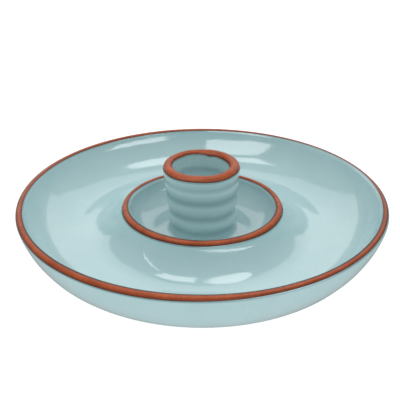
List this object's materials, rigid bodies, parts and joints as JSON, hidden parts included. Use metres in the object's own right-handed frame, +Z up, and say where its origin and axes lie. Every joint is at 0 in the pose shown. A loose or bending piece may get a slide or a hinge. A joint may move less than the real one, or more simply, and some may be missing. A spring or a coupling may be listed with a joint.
{
  "type": "chip and dip server",
  "caption": "Round glazed pottery dish with a broad chip trough round a raised dip well and a small cup in the middle, with thick bare lips.",
  "frame": {"origin": "on the turning axis, at the plane the foot ring stands on", "axes": "+Z up along the turning axis, out of the cup's mouth; the object is round, so X and Y are free"},
  "size_m": [0.3, 0.3, 0.0757],
  "materials": {
    "bare_terracotta": "matte",
    "aqua_glaze": "gloss"
  },
  "bodies": {
    "root": {"dish": "bare_terracotta", "foot_ring": "bare_terracotta", "outer_rim": "bare_terracotta", "well_collar": "bare_terracotta", "well_rim": "bare_terracotta", "cup_body": "bare_terracotta", "cup_rim": "bare_terracotta", "outside_glaze": "aqua_glaze", "trough_glaze": "aqua_glaze", "well_glaze": "aqua_glaze", "cup_glaze": "aqua_glaze"}
  },
  "joints": []
}
